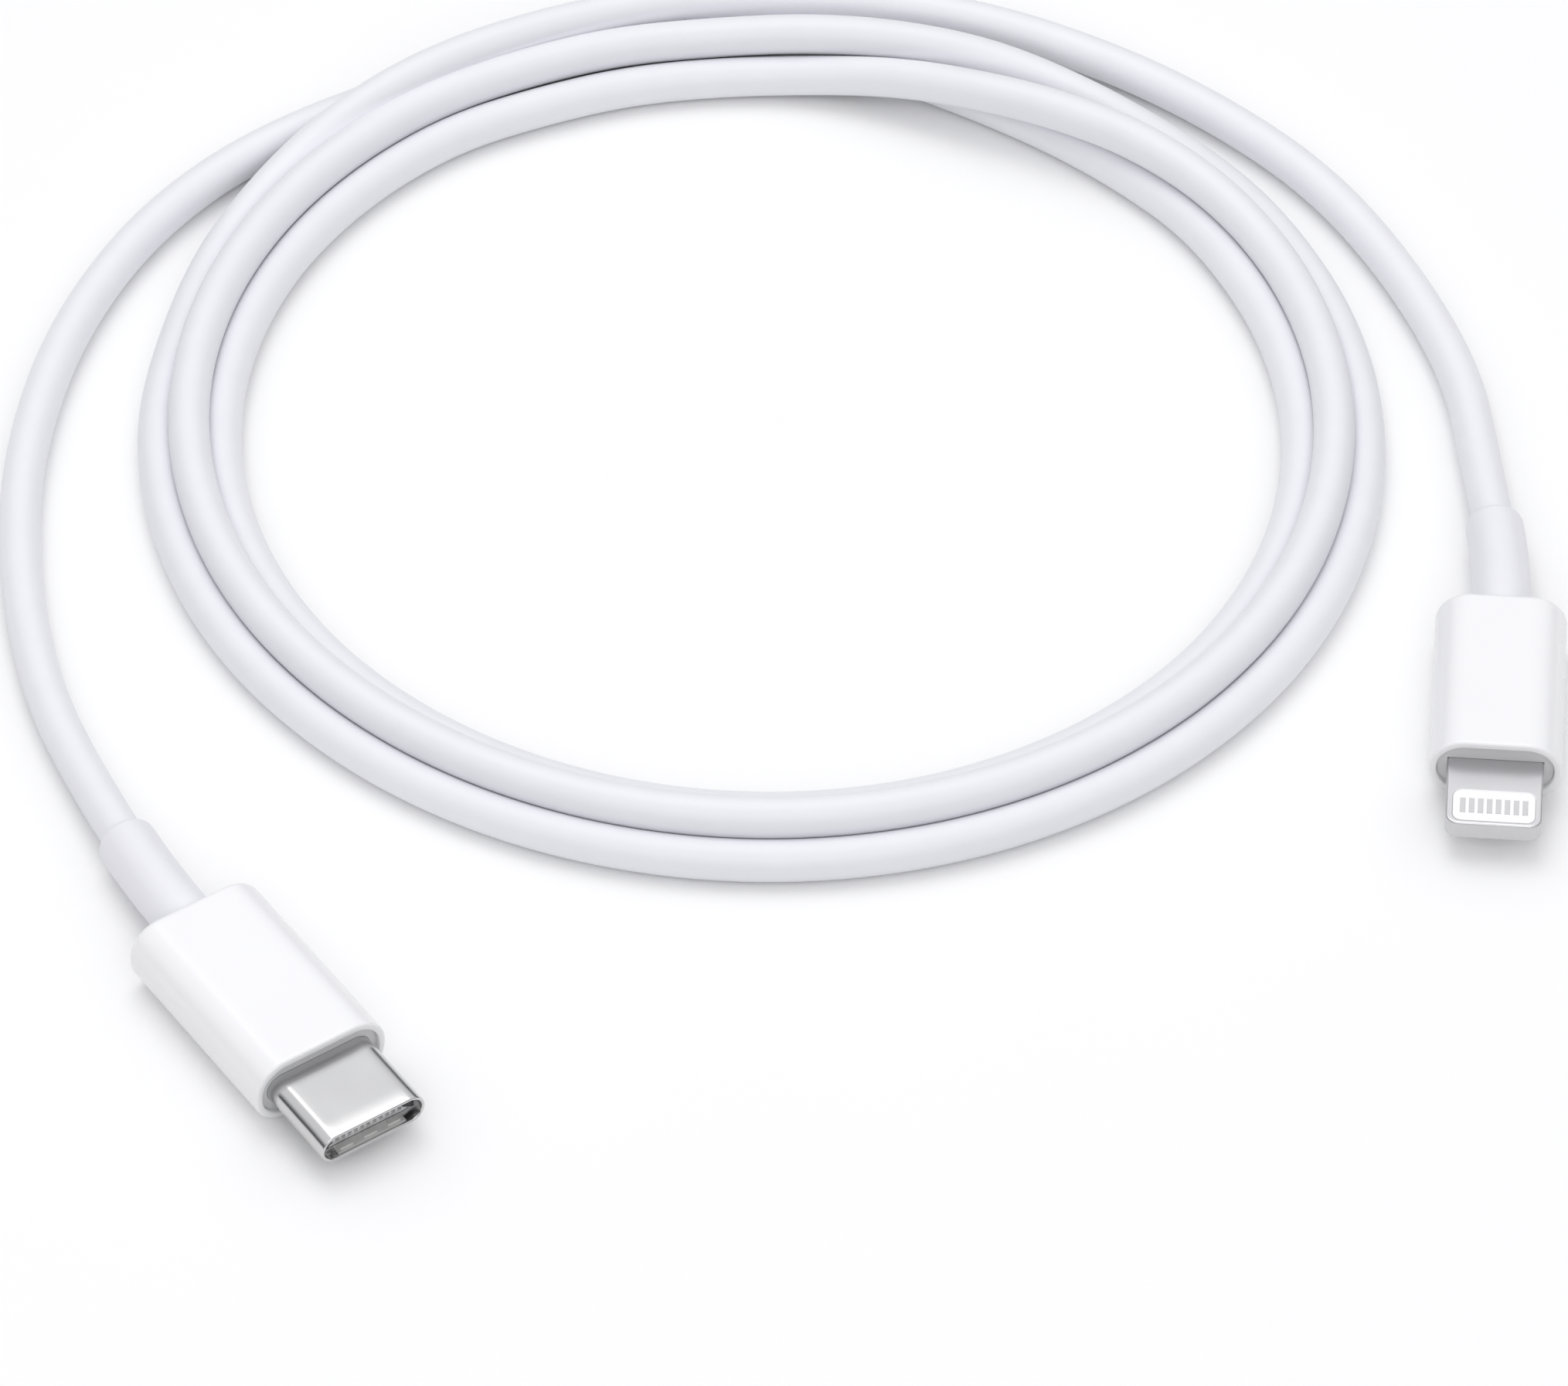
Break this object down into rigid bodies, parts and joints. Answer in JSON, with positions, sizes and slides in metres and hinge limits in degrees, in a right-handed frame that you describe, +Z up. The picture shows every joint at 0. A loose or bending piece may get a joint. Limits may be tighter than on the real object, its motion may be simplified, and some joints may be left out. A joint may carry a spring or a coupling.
{
  "type": "charging cable",
  "caption": "Coiled round white charging cable with a flat hollow metal plug for a charger at one end and a slim flat tab plug for a phone at the other.",
  "frame": {"origin": "on the table, under the middle of the box round both plugs with their strain reliefs", "axes": "+Z up from the table, -Y the way the phone plug goes in, +X from the charger plug towards the phone plug"},
  "size_m": [0.1128, 0.1216, 0.0063],
  "materials": {
    "housing_plastic": "glossy moulded",
    "collar_plastic": "satin moulded",
    "shell_steel": "satin nickel plate",
    "tab_steel": "satin",
    "contact_carrier": "satin moulded",
    "contact_field_white": "satin moulded",
    "gold_contacts": "gold plate",
    "plated_pads": "plated",
    "spring_steel": "dull",
    "board_green": "solder mask",
    "chip_black": "matte",
    "component_tan": "matte",
    "shield_can_steel": "tin plate",
    "inner_mould": "matte",
    "tinned_braid": "woven",
    "crimp_brass": "drawn",
    "relief_elastomer": "satin",
    "cord_jacket": "satin",
    "wire_red": "extruded",
    "wire_black": "extruded",
    "wire_green": "extruded",
    "wire_white": "extruded"
  },
  "bodies": {
    "cable_assembly": {"cable_charger_tail": "cord_jacket", "cable_coil": "cord_jacket", "cable_phone_tail": "cord_jacket", "charger_plug_braid_end": "tinned_braid", "charger_plug_circuit_board": "board_green", "charger_plug_contact_carrier": "contact_carrier", "charger_plug_controller_chip": "chip_black", "charger_plug_crimp_ring": "crimp_brass", "charger_plug_data_minus_wire": "wire_white", "charger_plug_data_plus_wire": "wire_green", "charger_plug_front_collar": "collar_plastic", "charger_plug_ground_wire": "wire_black", "charger_plug_housing": "housing_plastic", "charger_plug_inner_mould": "inner_mould", "charger_plug_jacket_end": "cord_jacket", "charger_plug_lower_contact_tails": "gold_contacts", "charger_plug_lower_ground_spring": "spring_steel", "charger_plug_lower_shield_can": "shield_can_steel", "charger_plug_middle_plate": "spring_steel", "charger_plug_power_wire": "wire_red", "charger_plug_shell": "shell_steel", "charger_plug_small_components": "component_tan", "charger_plug_strain_relief": "relief_elastomer", "charger_plug_upper_contact_tails": "gold_contacts", "charger_plug_upper_ground_spring": "spring_steel", "charger_plug_upper_shield_can": "shield_can_steel", "phone_plug_braid_end": "tinned_braid", "phone_plug_circuit_board": "board_green", "phone_plug_controller_chip": "chip_black", "phone_plug_crimp_ring": "crimp_brass", "phone_plug_data_minus_wire": "wire_white", "phone_plug_data_plus_wire": "wire_green", "phone_plug_front_collar": "collar_plastic", "phone_plug_ground_wire": "wire_black", "phone_plug_housing": "housing_plastic", "phone_plug_inner_mould": "inner_mould", "phone_plug_jacket_end": "cord_jacket", "phone_plug_lower_contact_carrier": "contact_field_white", "phone_plug_lower_contacts": "plated_pads", "phone_plug_lower_shield_can": "shield_can_steel", "phone_plug_power_wire": "wire_red", "phone_plug_small_components": "component_tan", "phone_plug_strain_relief": "relief_elastomer", "phone_plug_tab_frame": "tab_steel", "phone_plug_upper_contact_carrier": "contact_field_white", "phone_plug_upper_contacts": "plated_pads", "phone_plug_upper_shield_can": "shield_can_steel"},
    "left_latch": {"charger_plug_left_latch": "spring_steel"},
    "right_latch": {"charger_plug_right_latch": "spring_steel"},
    "upper_contact_row": {"charger_plug_upper_contact_arms": "gold_contacts"},
    "lower_contact_row": {"charger_plug_lower_contact_arms": "gold_contacts"}
  },
  "joints": [
    {"name": "right_latch_flex", "type": "hinge", "parent": "cable_assembly", "child": "right_latch", "pos_m": [-0.02969, -0.02452, 0.00265], "axis": [0, 0, 1], "range_deg": [0, 3], "stiffness_Nm_per_rad": 0.4},
    {"name": "left_latch_flex", "type": "hinge", "parent": "cable_assembly", "child": "left_latch", "pos_m": [-0.03502, -0.02889, 0.00265], "axis": [0, 0, -1], "range_deg": [0, 3], "stiffness_Nm_per_rad": 0.4},
    {"name": "upper_contacts_flex", "type": "hinge", "parent": "cable_assembly", "child": "upper_contact_row", "pos_m": [-0.03191, -0.02724, 0.00311], "axis": [-0.7727, -0.6347, 0], "range_deg": [0, 3], "stiffness_Nm_per_rad": 0.4},
    {"name": "lower_contacts_flex", "type": "hinge", "parent": "cable_assembly", "child": "lower_contact_row", "pos_m": [-0.03191, -0.02724, 0.00219], "axis": [0.7727, 0.6347, 0], "range_deg": [0, 3], "stiffness_Nm_per_rad": 0.4}
  ]
}
